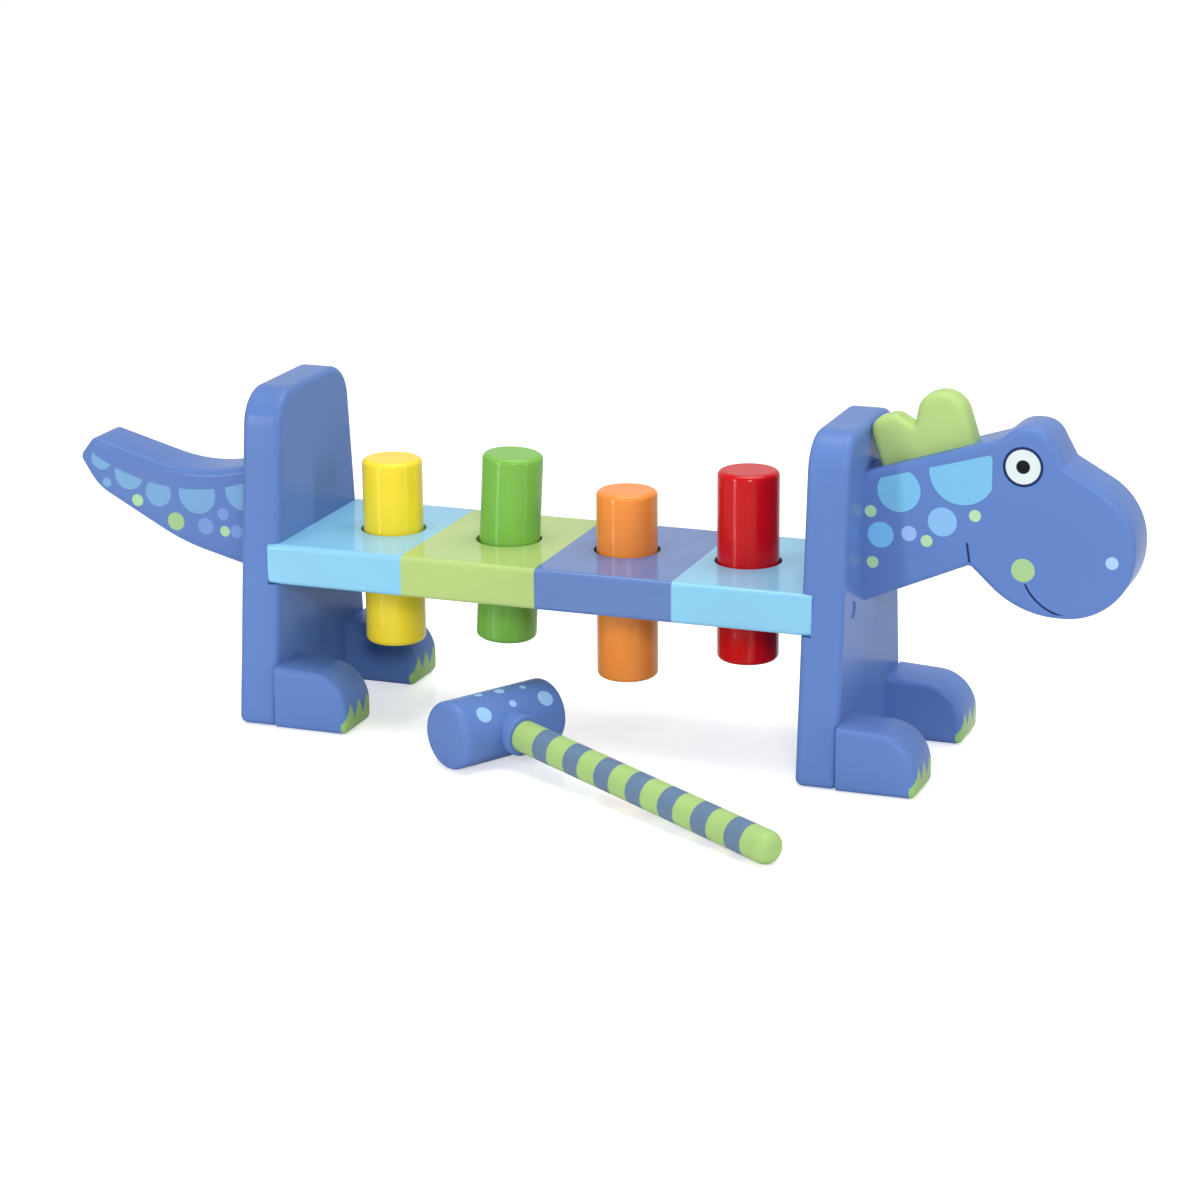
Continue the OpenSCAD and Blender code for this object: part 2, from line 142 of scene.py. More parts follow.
def outline(corners):
    """Corners (across, up, radius) as points with outward normals. A corner without a radius ends a flat
    root, and its normal runs along that root."""
    points = []
    for k, (across, up, radius) in enumerate(corners):
        before, after = corners[k - 1], corners[(k + 1) % len(corners)]
        corner = Vector((across, up))
        along = (corner - Vector(before[:2])).normalized()
        onward = (Vector(after[:2]) - corner).normalized()
        normal = Vector((along.y, -along.x))
        if radius == 0:
            ends_root = before[2] == 0
            root = along if ends_root else onward
            edge = Vector((onward.y, -onward.x)) if ends_root else normal
            points.append((corner, root / root.dot(edge)))
            continue
        turn = math.atan2(along.cross(onward), along.dot(onward))
        side = math.copysign(1, turn)
        radius = max(radius, least_corner_r) if turn > 0 else radius
        start = corner - along * radius * math.tan(abs(turn) / 2)
        centre = start - side * radius * normal
        steps = max(2, math.ceil(abs(turn) / corner_step))
        for step in range(steps + 1):
            turned_normal = normal.copy()
            turned_normal.rotate(Matrix.Rotation(turn * step / steps, 2))
            points.append((centre + side * radius * turned_normal, turned_normal))
    return points


def finished(name, shape, material):
    """A closed bmesh as a smooth-shaded object with crisp edges only where faces meet sharply."""
    bmesh.ops.recalc_face_normals(shape, faces=shape.faces)
    mesh = bpy.data.meshes.new(name)
    shape.to_mesh(mesh)
    shape.free()
    mesh.materials.append(material)
    mesh.shade_smooth()
    mesh.set_sharp_from_angle(angle=sharp_angle)
    made = bpy.data.objects.new(name, mesh)
    bpy.context.scene.collection.objects.link(made)
    return made


def bridge(shape, rings):
    """Joins rings of points into a skin and closes both ends."""
    loops = [[shape.verts.new(p) for p in ring] for ring in rings]
    for lower, upper in zip(loops, loops[1:]):
        for k in range(len(lower)):
            after = (k + 1) % len(lower)
            shape.faces.new((lower[k], lower[after], upper[after], upper[k]))
    shape.faces.new(list(reversed(loops[0])))
    shape.faces.new(loops[-1])


def eased_board(name, corners, thickness, place, material):
    """A board cut to an outline with quarter-round edges. place turns (across, up, level) into a point."""
    edge = outline(corners)
    quarter = [math.pi / 2 * k / ease_steps for k in range(ease_steps + 1)]
    rim = [(board_ease * (1 - math.sin(a)), board_ease * (1 - math.cos(a)) - thickness / 2) for a in quarter]
    half = [(board_ease + cap_margin, -thickness / 2)] + rim
    levels = half + [(inset, -level) for inset, level in reversed(half)]
    shape = bmesh.new()
    bridge(shape, [[place(*(p - n * inset), level) for p, n in edge] for inset, level in levels])
    return finished(name, shape, material)


def replace_mesh(piece):
    """Turns a piece's modifiers into its own plain mesh."""
    ready = piece.evaluated_get(bpy.context.evaluated_depsgraph_get())
    made = bpy.data.meshes.new_from_object(ready)
    old = piece.data
    piece.modifiers.clear()
    piece.data = made
    made.name = piece.name
    bpy.data.meshes.remove(old)


def cut(piece, cutters, round_over=0):
    """Takes cutters, each a closed bmesh, out of a piece, and breaks the new sharp edges by round_over."""
    for cutter in cutters:
        mesh = bpy.data.meshes.new("cutter")
        cutter.to_mesh(mesh)
        cutter.free()
        tool = bpy.data.objects.new("cutter", mesh)
        bpy.context.scene.collection.objects.link(tool)
        taken = piece.modifiers.new("cut", "BOOLEAN")
        taken.solver = "EXACT"
        taken.object = tool
        replace_mesh(piece)
        bpy.data.objects.remove(tool)
        bpy.data.meshes.remove(mesh)
    if round_over:
        eased = piece.modifiers.new("break_edges", "BEVEL")
        eased.width = round_over
        eased.segments = break_segments
        eased.limit_method = "ANGLE"
        eased.angle_limit = break_angle
        replace_mesh(piece)
    piece.data.shade_smooth()
    piece.data.set_sharp_from_angle(angle=sharp_angle)
    level = piece.modifiers.new("flat_faces_stay_flat", "WEIGHTED_NORMAL")
    level.keep_sharp = True
    replace_mesh(piece)


def block(low, high):
    """A closed box between two corners."""
    shape = bmesh.new()
    bmesh.ops.create_cube(shape, size=1)
    bmesh.ops.scale(shape, vec=high - low, verts=shape.verts)
    bmesh.ops.translate(shape, vec=(low + high) / 2, verts=shape.verts)
    return shape


def disc(start, end, radius, segments=72):
    """A closed cylinder between two points."""
    shape = bmesh.new()
    turn = (end - start).to_track_quat("Z", "Y").to_matrix().to_4x4()
    bmesh.ops.create_cone(shape, cap_ends=True, segments=segments, radius1=radius, radius2=radius,
                          depth=(end - start).length, matrix=Matrix.Translation((start + end) / 2) @ turn)
    return shape


half_base, half_top = panel_base_w / 2, panel_top_w / 2
panel_corners = [(-half_base, 0, least_corner_r), (half_base, 0, least_corner_r),
                 (half_top, panel_h, panel_corner_r), (-half_top, panel_h, panel_corner_r)]
blue_paint = gloss_paint("gloss_blue_paint_on_wood", blue)

for node, inner, outer in (("rear_panel", rear_high.x, rear_low.x),
                           ("front_panel", front_low.x, front_high.x)):
    centre_x = (inner + outer) / 2
    panel = eased_board("blue_" + node, panel_corners, panel_t,
                        lambda across, up, level: Vector((centre_x + level, middle.y + across, up)),
                        blue_paint)
    outwards = math.copysign(1, outer - inner)
    floor_x = inner + outwards * housing_depth
    open_x = inner - outwards * housing_depth
    housing = block(Vector((min(open_x, floor_x), rear_low.y - board_ease, plank_low.z)),
                    Vector((max(open_x, floor_x), rear_high.y + board_ease, plank_high.z)))
    sockets = [disc(Vector((outer + outwards * plug_depth, y, plug_z)),
                    Vector((outer - outwards * plug_depth, y, plug_z)), plug_d / 2) for y in plug_ys]
    cut(panel, [housing, *sockets])
    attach(panel, "bench")
    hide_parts(node)


# Screw plugs: short turned wooden plugs glued over the screw heads, a little below the panels' outer
# faces, with a small chamfer. They are sprayed together with the panels.

plug_chamfer = 0.5 * MM


def turned(name, profile, place, material, segments=96):
    """A solid of revolution from (radius, height) pairs, flat at both ends. place moves it from its
    own Z."""
    shape = bmesh.new()
    rings = [[place @ Vector((r * math.cos(a), r * math.sin(a), z))
              for a in [2 * math.pi * k / segments for k in range(segments)]] for r, z in profile]
    bridge(shape, rings)
    return finished(name, shape, material)


def joined(name, parts):
    """Several objects as one, with one mesh."""
    shape = bmesh.new()
    material = parts[0].data.materials[0]
    for part in parts:
        shape.from_mesh(part.data)
        bpy.data.objects.remove(part)
    return finished(name, shape, material)


for node, outwards in (("screw_plugs_rear", -1), ("screw_plugs_front", 1)):
    low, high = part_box(node)
    length, radius = high.x - low.x, plug_d / 2
    profile = [(radius, 0), (radius, length - plug_chamfer), (radius - plug_chamfer, length)]
    face = Matrix.Rotation(outwards * math.pi / 2, 4, "Y")
    base_x = low.x if outwards > 0 else high.x
    plugs = [turned("plug", profile, Matrix.Translation((base_x, y, plug_z)) @ face, blue_paint, segments=48)
             for y in plug_ys]
    group = joined("blue_" + node, plugs)
    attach(group, "bench")
    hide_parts(node)


# Plank: one straight 15 mm wooden board with eased long edges and four drilled holes, let into both panels.
# Four fields of gloss paint in turn, sky blue, lime green, blue and sky blue, rubbed down to a mirror.

plank_ease = 2 * MM
plank_ease_steps = 6
hole_r = 12 * MM
hole_edge = 0.4 * MM
ring_groove_r = 14.55 * MM
hole_segments = 96
field_l = 51 * MM
field_shift = 0.8 * MM
field_edge = 0.15 * MM
lengthwise_grain = (8, 1, 1)
sky, lime, mid_blue = "#88C8E8", "#B3CC79", "#607FBA"
ring_nodes = ["yellow_grip_ring", "green_grip_ring", "orange_grip_ring", "red_grip_ring"]


def plank_fields(tree, place, colour):
    """Fields across the plank, each from its own border on."""
    along = add(tree, "ShaderNodeSeparateXYZ", {"Vector": place}).outputs["X"]
    painted = colour
    # A colour mix takes a share as input 0, the paint below as 6 and above as 7, and gives output 2
    for count, tint in ((-1, lime), (0, mid_blue), (1, sky)):
        border = middle.x + field_shift + count * field_l
        past = add(tree, "ShaderNodeMapRange", {"Value": along, "From Min": border - field_edge,
                                                "From Max": border + field_edge})
        painted = add(tree, "ShaderNodeMix", {0: past, 6: painted, 7: linear(tint)},
                      data_type="RGBA").outputs[2]
    return painted


# A smoother, clearer paint than the panels': the pegs and the lamps show in it as soft reflections
plank_paint = gloss_paint("rubbed_gloss_paint_in_fields", sky, plank_fields, roughness=0.12, ior=1.35,
                          coat=0.2, grain=lengthwise_grain)
half_w, half_t = (plank_high.y - plank_low.y) / 2, (plank_high.z - plank_low.z) / 2
plank_mid = (plank_low + plank_high) / 2
section = []
for side_y, side_z, turn in ((1, 1, 0), (-1, 1, 1), (-1, -1, 2), (1, -1, 3)):
    for step in range(plank_ease_steps + 1):
        a = math.pi / 2 * (turn + step / plank_ease_steps)
        section.append((side_y * (half_w - plank_ease) + plank_ease * math.cos(a),
                        side_z * (half_t - plank_ease) + plank_ease * math.sin(a)))
shape = bmesh.new()
bridge(shape, [[Vector((x, plank_mid.y + y, plank_mid.z + z)) for y, z in section]
               for x in (plank_low.x, plank_high.x)])
plank = finished("plank_in_four_fields", shape, plank_paint)
ring_low, ring_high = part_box(ring_nodes[0])
hole_xs = [(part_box(n)[0].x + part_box(n)[1].x) / 2 for n in ring_nodes]
holes = [disc(Vector((x, plank_mid.y, plank_low.z - half_t)),
              Vector((x, plank_mid.y, plank_high.z + half_t)), hole_r, hole_segments) for x in hole_xs]
grooves = [disc(Vector((x, plank_mid.y, ring_low.z)),
                Vector((x, plank_mid.y, ring_high.z)), ring_groove_r, hole_segments) for x in hole_xs]
cut(plank, holes, hole_edge)
cut(plank, grooves)
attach(plank, "bench")
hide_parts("plank")


# Grip rings: moulded black rubber rings with a round lip, sprung into a groove in each hole. The lip
# grips the peg and holds it at any height. The rings keep their meshes from the frame.

rubber_grain_mm = 0.7
rubber_dent, rubber_dent_depth = 0.3, 0.05 * MM
rubber_roughness = 0.75
rubber_black, rubber_bloom = "#202022", "#34353A"

# Moulded rubber: a dull near black with a fine grey bloom, so the ring reads as a soft shadow in its hole
rubber, tree = empty_material("moulded_black_rubber")
place = add(tree, "ShaderNodeTexCoord").outputs["Object"]
speck = add(tree, "ShaderNodeTexNoise", {"Vector": place, "Scale": 1 / (rubber_grain_mm * MM), "Detail": 3})
bloom = add(tree, "ShaderNodeMix", {0: speck, 6: linear(rubber_black), 7: linear(rubber_bloom)},
            data_type="RGBA")
skin = add(tree, "ShaderNodeBump", {"Height": speck, "Strength": rubber_dent,
                                    "Distance": rubber_dent_depth})
surface = add(tree, "ShaderNodeBsdfPrincipled", {"Base Color": bloom.outputs[2], "Normal": skin,
                                                 "Roughness": rubber_roughness})
add(tree, "ShaderNodeOutputMaterial", {"Surface": surface})

for node in ring_nodes:
    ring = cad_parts[node]
    ring.data.materials.clear()
    ring.data.materials.append(rubber)


# Pegs: four pegs turned from 22 mm wooden rod with eased ends, each dipped in its own gloss colour.
# They stand in the rings at the heights to which they were last driven, the green one leaning.

peg_d = 22 * MM
peg_l = 69 * MM
peg_ease = 2 * MM
peg_ease_steps = 8
green_lean = math.radians(3)
peg_colours = {"yellow_peg": "#FADD35", "green_peg": "#7BB94C", "orange_peg": "#FA953F",
               "red_peg": "#CF060C"}


def rod_profile(diameter, length, ease, lower_ease=0):
    """Half the outline of a rod along Z, with quarter-round ends."""
    r = diameter / 2
    arc = [math.pi / 2 * k / peg_ease_steps for k in range(peg_ease_steps + 1)]
    top = [(r - ease + ease * math.cos(a), length - ease + ease * math.sin(a)) for a in arc]
    top.append((r - ease - cap_margin, length))
    low = [(r - lower_ease + lower_ease * math.cos(a), lower_ease - lower_ease * math.sin(a)) for a in arc]
    low.append((r - lower_ease - cap_margin, 0))
    return list(reversed(low)) + top if lower_ease else [(r - cap_margin, 0), (r, 0)] + top


for node, peg_colour in peg_colours.items():
    low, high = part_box(node)
    lean = green_lean if node == "green_peg" else 0
    stand = Matrix.Translation((low + high) / 2) @ Matrix.Rotation(lean, 4, "Y")
    stand = stand @ Matrix.Translation((0, 0, -peg_l / 2))
    colour_name = node.split("_")[0]
    # Dipped paint is thicker than sprayed paint, and the lamps draw clear upright streaks on it
    paint = gloss_paint(f"gloss_{colour_name}_dipped_wood", peg_colour, roughness=0.2, ior=1.35)
    peg = turned(f"turned_{node}", rod_profile(peg_d, peg_l, peg_ease, peg_ease), stand, paint)
    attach(peg, node)
    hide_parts(node)


# Head and neck: one 22 mm wooden board sawn to the head's outline with routed edges, glued with dowels to
# the front panel. The flat sides carry printed spots, an eye, a cheek, a nostril and a mouth line.

figure_t = 22 * MM
head_shares = [(0, 0, 0), (0.395, 0.245, 0.025), (0.58, 0, 0.52), (1, 0, 0.37), (1, 0.6, 0.37),
               (0.737, 0.811, 0.03), (0.665, 1, 0.125), (0.555, 1, 0.15), (0.495, 0.925, 0.075),
               (0, 0.698, 0)]
print_edge = 0.12 * MM
pale, mint, ink = "#79BCE3", "#B2D9AA", "#1F2C5E"
# The print's places and sizes are in millimetres, along X from the bench's middle and up from the floor
head_spots = [((125.8, 100.4), 7.6, pale), ((148, 108.7), 11.6, pale), ((141.3, 90.6), 5.1, "#88BAE8"),
              ((119.6, 84.2), 4.6, "#7ABDF0"), ((129.6, 85.5), 2.7, "#96B9EE"), ((115.9, 92.3), 2.1, mint),
              ((135.9, 83.4), 2.1, mint), ((152.7, 93.7), 2.1, mint), ((116.9, 74.2), 2.1, mint),
              ((169.8, 76), 4.1, "#A6CA90"), ((200.3, 81.2), 2.2, "#A8CCF0")]
eye_place = (168.9, 112.1)
eye_rings = [(7, ink), (6, "#D8E3E6"), (2.4, "#15171C")]
spot_limit = 158.3
spot_line = ((117, 103.7), (157, 115.1))
mouth_centre, mouth_r, mouth_top, mouth_end = (187, 78.9), 18.1, 71.2, 189
mouth_w, crease_w = 0.75, 0.8
crease = ((150.1, 83.6), (151.4, 75.2))
head_low, head_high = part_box("head_and_neck")
head_l, head_h = head_high.x - head_low.x, head_high.z - head_low.z


def at_bench(spot):
    """A place on a board's flat side, from millimetres along the bench and above the floor."""
    return Vector((middle.x + spot[0] * MM, 0, spot[1] * MM))


def flat_place(tree, place):
    """Object coordinates in parts, laid flat on a lengthwise board's side, and a mask of its flat sides."""
    parts = add(tree, "ShaderNodeSeparateXYZ", {"Vector": place})
    flat = add(tree, "ShaderNodeCombineXYZ", {"X": parts.outputs["X"], "Z": parts.outputs["Z"]})
    out = add(tree, "ShaderNodeMath", {0: parts.outputs["Y"], 1: middle.y}, operation="SUBTRACT")
    away = add(tree, "ShaderNodeMath", {0: out}, operation="ABSOLUTE")
    side = add(tree, "ShaderNodeMath", {0: away, 1: figure_t / 2 - print_edge}, operation="GREATER_THAN")
    return parts, flat, side


def printed(tree, painted, tint, distance, limit, within=1):
    """Ink over the paint where a distance is under a limit, and inside a mask where one is given."""
    near = add(tree, "ShaderNodeMapRange", {"Value": distance, "From Min": limit - print_edge,
                                            "From Max": limit + print_edge, "To Min": 1, "To Max": 0})
    share = add(tree, "ShaderNodeMath", {0: near, 1: within}, operation="MULTIPLY")
    return add(tree, "ShaderNodeMix", {0: share, 6: painted, 7: linear(tint)}, data_type="RGBA").outputs[2]


def spot_on(tree, flat, painted, centre, radius, tint, within=1):
    """A round printed spot."""
    far = add(tree, "ShaderNodeVectorMath", {0: flat, 1: centre}, operation="DISTANCE")
    return printed(tree, painted, tint, far.outputs["Value"], radius, within)


def head_print(tree, place, colour):
    """The head's print: spots on the neck, face and eye, then the mouth and jaw lines."""
    parts, flat, side = flat_place(tree, place)
    back = add(tree, "ShaderNodeMath", {0: parts.outputs["X"], 1: middle.x + spot_limit * MM},
               operation="LESS_THAN")
    start, end = (at_bench(p) for p in spot_line)
    rise = (end - start).cross(Vector((0, 1, 0))).normalized()
    height = add(tree, "ShaderNodeVectorMath", {0: flat, 1: rise}, operation="DOT_PRODUCT")
    under = add(tree, "ShaderNodeMath", {0: height.outputs["Value"], 1: start.dot(rise)},
                operation="LESS_THAN")
    neck = add(tree, "ShaderNodeMath", {0: back, 1: under}, operation="MULTIPLY")
    painted = colour
    for centre, radius, tint in head_spots:
        within = neck if centre[0] < spot_limit else 1
        painted = spot_on(tree, flat, painted, at_bench(centre), radius * MM, tint, within)
    for radius, tint in eye_rings:
        painted = spot_on(tree, flat, painted, at_bench(eye_place), radius * MM, tint)
    far = add(tree, "ShaderNodeVectorMath", {0: flat, 1: at_bench(mouth_centre)}, operation="DISTANCE")
    off = add(tree, "ShaderNodeMath", {0: far.outputs["Value"], 1: mouth_r * MM}, operation="SUBTRACT")
    apart = add(tree, "ShaderNodeMath", {0: off}, operation="ABSOLUTE")
    under = add(tree, "ShaderNodeMath", {0: parts.outputs["Z"], 1: mouth_top * MM}, operation="LESS_THAN")
    behind = add(tree, "ShaderNodeMath", {0: parts.outputs["X"], 1: middle.x + mouth_end * MM},
                 operation="LESS_THAN")
    corner = add(tree, "ShaderNodeMath", {0: under, 1: behind}, operation="MULTIPLY")
    painted = printed(tree, painted, ink, apart, mouth_w / 2 * MM, corner)
    start, end = (at_bench(p) for p in crease)
    run = end - start
    offset = add(tree, "ShaderNodeVectorMath", {0: flat, 1: start}, operation="SUBTRACT")
    reach = add(tree, "ShaderNodeVectorMath", {0: offset, 1: run / run.length_squared},
                operation="DOT_PRODUCT")
    share = add(tree, "ShaderNodeClamp", {"Value": reach.outputs["Value"]})
    foot = add(tree, "ShaderNodeVectorMath", {0: run, "Scale": share}, operation="SCALE")
    gap = add(tree, "ShaderNodeVectorMath", {0: offset, 1: foot}, operation="DISTANCE")
    painted = printed(tree, painted, ink, gap.outputs["Value"], crease_w / 2 * MM)
    return add(tree, "ShaderNodeMix", {0: side, 6: colour, 7: painted}, data_type="RGBA").outputs[2]


def lengthwise(root, direction=1, side=middle.y):
    """Places a board that stands in the bench's length, from its root along X."""
    return lambda across, up, level: Vector((root.x + direction * across, side + level, root.z + up))


def sized(shares, across, up):
    """Corners from shares of a board's reach and height."""
    return [(a * across, u * up, r * up) for a, u, r in shares]


head_paint = gloss_paint("gloss_blue_paint_with_printed_head", blue, head_print, grain=lengthwise_grain)
head = eased_board("printed_head_and_neck", sized(head_shares, head_l, head_h), figure_t,
                   lengthwise(head_low), head_paint)
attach(head, "bench")
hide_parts("head_and_neck")


# Crest: a thin two-lobed wooden plate with routed edges, dowelled to the neck's sloping upper edge,
# in lime green gloss paint.

# The height is a hair under the 20 mm of the CAD, whose coarser arcs stop just short of it
crest_l, crest_h, crest_t = 35 * MM, 19.98 * MM, 10 * MM
crest_setback = 4 * MM
crest_shares = [(0, 0, 0), (1, 0, 0), (1, 1, 0.45), (0.59, 1, 0.35), (0.443, 0.54, 0.03),
                (0.29, 0.82, 0.25), (0, 0.815, 0.27)]
crest_lime = "#B3D081"
short_grain = (6, 1, 1)
neck_end, neck_start = head_shares[-2], head_shares[-1]
neck_slope = math.atan2((neck_end[1] - neck_start[1]) * head_h, (neck_end[0] - neck_start[0]) * head_l)
seat = Matrix.Translation((head_low.x, middle.y, head_low.z + neck_start[1] * head_h))
seat = seat @ Matrix.Rotation(-neck_slope, 4, "Y") @ Matrix.Translation((crest_setback, 0, 0))
lime_paint = gloss_paint("gloss_lime_paint_on_wood", crest_lime, grain=short_grain)
crest = eased_board("lime_crest", sized(crest_shares, crest_l, crest_h), crest_t,
                    lambda across, up, level: seat @ Vector((across, level, up)), lime_paint)
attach(crest, "bench")
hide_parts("crest")


# Tail: a horn-shaped board of the same 22 mm stock as the head, with routed edges, dowelled to the rear
# panel. It is sprayed blue and printed with spots on both flat sides. Its pale spots are printed darker
# and greyer than the head's, as painted shade.

tail_shares = [(0, 0, 0), (0.465, 0.198, 1.7), (0.91, 0.596, 0.425), (1, 0.836, 0.064), (0.923, 1, 0.064),
               (0.409, 0.766, 1.28), (0, 0.902, 0)]
# The length is a hair under the 78 mm of the CAD, whose coarser arcs stop just short of it
tail_l, tail_h = 77.99 * MM, 47 * MM
print_arc_centre, print_arc_r = (-147.5, 151.6), 73.3
# The tail's pale is the head's pale ink made darker and greyer: painted shade for the tail, which sits in
# shade
tail_pale_painted_shade, leaf, spot_blue = "#7CABD6", "#A3C98A", "#7C9CD8"
tail_spots = [((-181.8, 87.1), 4.2, tail_pale_painted_shade), ((-170.7, 82), 5.8, tail_pale_painted_shade),
              ((-158.6, 75.9), 5.2, tail_pale_painted_shade), ((-142.6, 76.7), 7.5, tail_pale_painted_shade),
              ((-123.7, 79.1), 7.2, tail_pale_painted_shade), ((-180, 78.1), 1.8, tail_pale_painted_shade),
              ((-167.4, 72.3), 2.3, mint), ((-151.7, 65.5), 3.4, leaf), ((-131.6, 63.4), 2, mint),
              ((-139.5, 64.6), 3.2, spot_blue), ((-132.2, 69.9), 2.3, spot_blue),
              ((-126.8, 63.6), 2.5, spot_blue)]


def tail_print(tree, place, colour):
    """Spots on both flat sides of the tail, cut off along an arc that follows its upper edge."""
    flat, side = flat_place(tree, place)[1:]
    far = add(tree, "ShaderNodeVectorMath", {0: flat, 1: at_bench(print_arc_centre)}, operation="DISTANCE")
    under = add(tree, "ShaderNodeMath", {0: far.outputs["Value"], 1: print_arc_r * MM},
                operation="GREATER_THAN")
    painted = colour
    for centre, radius, tint in tail_spots:
        painted = spot_on(tree, flat, painted, at_bench(centre), radius * MM, tint, under)
    return add(tree, "ShaderNodeMix", {0: side, 6: colour, 7: painted}, data_type="RGBA").outputs[2]


tail_low, tail_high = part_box("tail")
tail_paint = gloss_paint("gloss_blue_paint_with_printed_tail", blue, tail_print, grain=lengthwise_grain)
tail = eased_board("printed_tail", sized(tail_shares, tail_l, tail_h), figure_t,
                   lengthwise(Vector((tail_high.x, 0, tail_low.z)), -1), tail_paint)
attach(tail, "bench")
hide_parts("tail")


# Feet: four rounded blocks of the same stock, dowelled to the panels, toes towards the head.
# Three pointed claws are painted in green across each toe.

foot_l, foot_h = 28.5 * MM, 23 * MM
foot_shares = [(0, 0, 0), (1, 0, 0.1), (1, 0.93, 0.62), (0, 1, 0)]
claw_pitch, claw_h, claw_w = 7.2 * MM, 11 * MM, 9.4 * MM
claw_bulge = 1.7
claw_reach = 2.4 * MM
claw_green = "#9CC178"
foot_nodes = ("rear_near_foot", "rear_far_foot", "front_near_foot", "front_far_foot")


def claw_print(toe_x, centre_y):
    """Claws on one foot's toe: three rounded points on the floor line."""
    def pattern(tree, place, colour):
        parts = add(tree, "ShaderNodeSeparateXYZ", {"Vector": place})
        painted = colour
        front = add(tree, "ShaderNodeMath", {0: parts.outputs["X"], 1: toe_x - claw_reach},
                    operation="GREATER_THAN")
        height = add(tree, "ShaderNodeMath", {0: parts.outputs["Z"], 1: claw_h}, operation="DIVIDE")
        taper = add(tree, "ShaderNodeMath", {0: height, 1: claw_bulge}, operation="POWER")
        room = add(tree, "ShaderNodeMath", {0: 1, 1: taper}, operation="SUBTRACT")
        wide = add(tree, "ShaderNodeMath", {0: room, 1: claw_w / 2}, operation="MULTIPLY")
        for count in (-1, 0, 1):
            off = add(tree, "ShaderNodeMath", {0: parts.outputs["Y"], 1: centre_y + count * claw_pitch},
                      operation="SUBTRACT")
            away = add(tree, "ShaderNodeMath", {0: off}, operation="ABSOLUTE")
            beyond = add(tree, "ShaderNodeMath", {0: away, 1: wide}, operation="SUBTRACT")
            painted = printed(tree, painted, claw_green, beyond, 0, front)
        return painted
    return pattern


for node in foot_nodes:
    low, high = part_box(node)
    centre_y = (low.y + high.y) / 2
    paint = gloss_paint(f"gloss_blue_paint_with_claws_{node}", blue, claw_print(high.x, centre_y),
                        grain=short_grain)
    foot = eased_board(f"clawed_{node}", sized(foot_shares, foot_l, foot_h), figure_t,
                       lengthwise(low, 1, centre_y), paint)
    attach(foot, "bench")
    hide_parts(node)


# Dowels: fluted beech pins with chamfered ends, glued halfway into each board and its neighbour.
# They stay bare, and only the glue joints show where they are.

dowel_d, foot_dowel_d, crest_dowel_d = 8 * MM, 5 * MM, 4 * MM
dowel_chamfer = 0.8 * MM
flute_depth, flutes = 0.25 * MM, 18
crest_dowel_l = 14 * MM
crest_dowel_shares = (0.25, 0.75)
streak_mm, fleck_mm = 0.8, 0.5
streak_squeeze = (0.08, 1, 1)
fleck_start, fleck_full, fleck_share = 0.62, 0.7, 0.6
pore_strength, pore_depth = 0.25, 0.05 * MM
beech_roughness = 0.65
beech_dark, beech_light, beech_fleck = "#CFA874", "#E6CDA2", "#9A7046"

# Planed beech: pale straight streaks along the pin and short dark flecks, with no shine
beech, tree = empty_material("bare_beech_dowel")
place = add(tree, "ShaderNodeTexCoord").outputs["Object"]
drawn = add(tree, "ShaderNodeMapping", {"Vector": place, "Scale": streak_squeeze})
streak = add(tree, "ShaderNodeTexNoise", {"Vector": drawn, "Scale": 1 / (streak_mm * MM)})
fleck = add(tree, "ShaderNodeTexNoise", {"Vector": drawn, "Scale": 1 / (fleck_mm * MM)})
dark = add(tree, "ShaderNodeMapRange", {"Value": fleck, "From Min": fleck_start,
                                        "From Max": fleck_full, "To Max": fleck_share})
wood = add(tree, "ShaderNodeMix", {0: streak, 6: linear(beech_dark), 7: linear(beech_light)},
           data_type="RGBA")
flecked = add(tree, "ShaderNodeMix", {0: dark, 6: wood.outputs[2], 7: linear(beech_fleck)},
              data_type="RGBA")
pores = add(tree, "ShaderNodeBump", {"Height": streak, "Strength": pore_strength, "Distance": pore_depth})
surface = add(tree, "ShaderNodeBsdfPrincipled", {"Base Color": flecked.outputs[2], "Normal": pores,
                                                 "Roughness": beech_roughness})
add(tree, "ShaderNodeOutputMaterial", {"Surface": surface})


def repeated(name, lengths, counts=()):
    """A geometry node group that takes the centres, direction and material of repeated pieces and their
    named sizes."""
    tree = bpy.data.node_groups.new(name, "GeometryNodeTree")
    tree.interface.new_socket("Geometry", in_out="OUTPUT", socket_type="NodeSocketGeometry")
    kinds = {"Centres": "Geometry", "Direction": "Vector", "Material": "Material"}
    kinds.update(dict.fromkeys(lengths, "Float"), **dict.fromkeys(counts, "Int"))
    for label, kind in kinds.items():
        tree.interface.new_socket(label, in_out="INPUT", socket_type="NodeSocket" + kind)
    return tree, add(tree, "NodeGroupInput").outputs


def spread_out(tree, given, piece):
    """Ends a group: the piece on each centre, turned to the direction and in the material."""
    aim = add(tree, "FunctionNodeAlignRotationToVector", {"Vector": given["Direction"]}, axis="Z")
    copies = add(tree, "GeometryNodeInstanceOnPoints", {"Points": given["Centres"], "Instance": piece,
                                                        "Rotation": aim})
    solid = add(tree, "GeometryNodeRealizeInstances", {"Geometry": copies})
    coated = add(tree, "GeometryNodeSetMaterial", {"Geometry": solid, "Material": given["Material"]})
    add(tree, "NodeGroupOutput", {"Geometry": coated})


def set_out(name, centres, tree, values):
    """A group's pieces at their centres, as one plain mesh."""
    mesh = bpy.data.meshes.new(name)
    mesh.from_pydata(centres, [], [])
    made = bpy.data.objects.new(name, mesh)
    bpy.context.scene.collection.objects.link(made)
    repeat = made.modifiers.new("repeat", "NODES")
    repeat.node_group = tree
    for item in tree.interface.items_tree:
        if item.in_out == "INPUT" and item.name in values:
            repeat[item.identifier] = values[item.name]
    replace_mesh(made)
    return made


